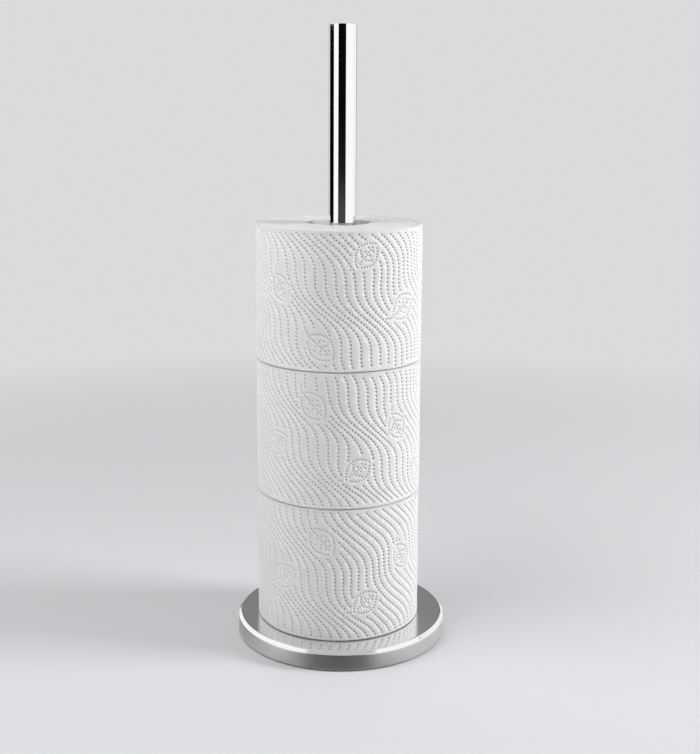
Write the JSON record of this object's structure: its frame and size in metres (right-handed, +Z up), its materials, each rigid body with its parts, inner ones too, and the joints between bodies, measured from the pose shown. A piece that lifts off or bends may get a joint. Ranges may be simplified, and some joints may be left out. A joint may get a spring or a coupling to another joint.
{
  "type": "freestanding toilet paper holder",
  "caption": "Slim freestanding toilet roll stand: weighted round steel base and a plain polished pole that carries stacked spare rolls, which lift off over its top.",
  "frame": {"origin": "on the floor, under the middle of the round base", "axes": "+Z up along the pole; the picture's camera looks along +Y, with +X to its right"},
  "size_m": [0.151, 0.151, 0.435],
  "materials": {
    "satin_steel": "satin brushed, polished chamfer",
    "polished_chrome": "mirror polished",
    "cast_weight": "as cast",
    "floor_pad": "matt foam rubber",
    "fasteners": "zinc plated",
    "tissue": "embossed soft tissue",
    "cardboard_core": "spiral-wound board"
  },
  "bodies": {
    "stand": {"base_pad": "floor_pad", "base_weight": "cast_weight", "base_cover": "satin_steel", "base_screw": "fasteners", "base_spring_washer": "fasteners", "base_washer": "fasteners", "pole_tube": "polished_chrome", "pole_insert": "fasteners", "pole_cap": "polished_chrome"},
    "roll_bottom": {"paper_bottom": "tissue", "core_bottom": "cardboard_core"},
    "roll_middle": {"paper_middle": "tissue", "core_middle": "cardboard_core"},
    "roll_top": {"paper_top": "tissue", "core_top": "cardboard_core"}
  },
  "joints": [
    {"name": "lift_bottom", "type": "slide", "parent": "stand", "child": "roll_bottom", "axis": [0, 0, 1], "range_m": [0, 0.435]},
    {"name": "lift_middle", "type": "slide", "parent": "roll_bottom", "child": "roll_middle", "axis": [0, 0, 1], "range_m": [0, 0.34]},
    {"name": "lift_top", "type": "slide", "parent": "roll_middle", "child": "roll_top", "axis": [0, 0, 1], "range_m": [0, 0.245]}
  ]
}
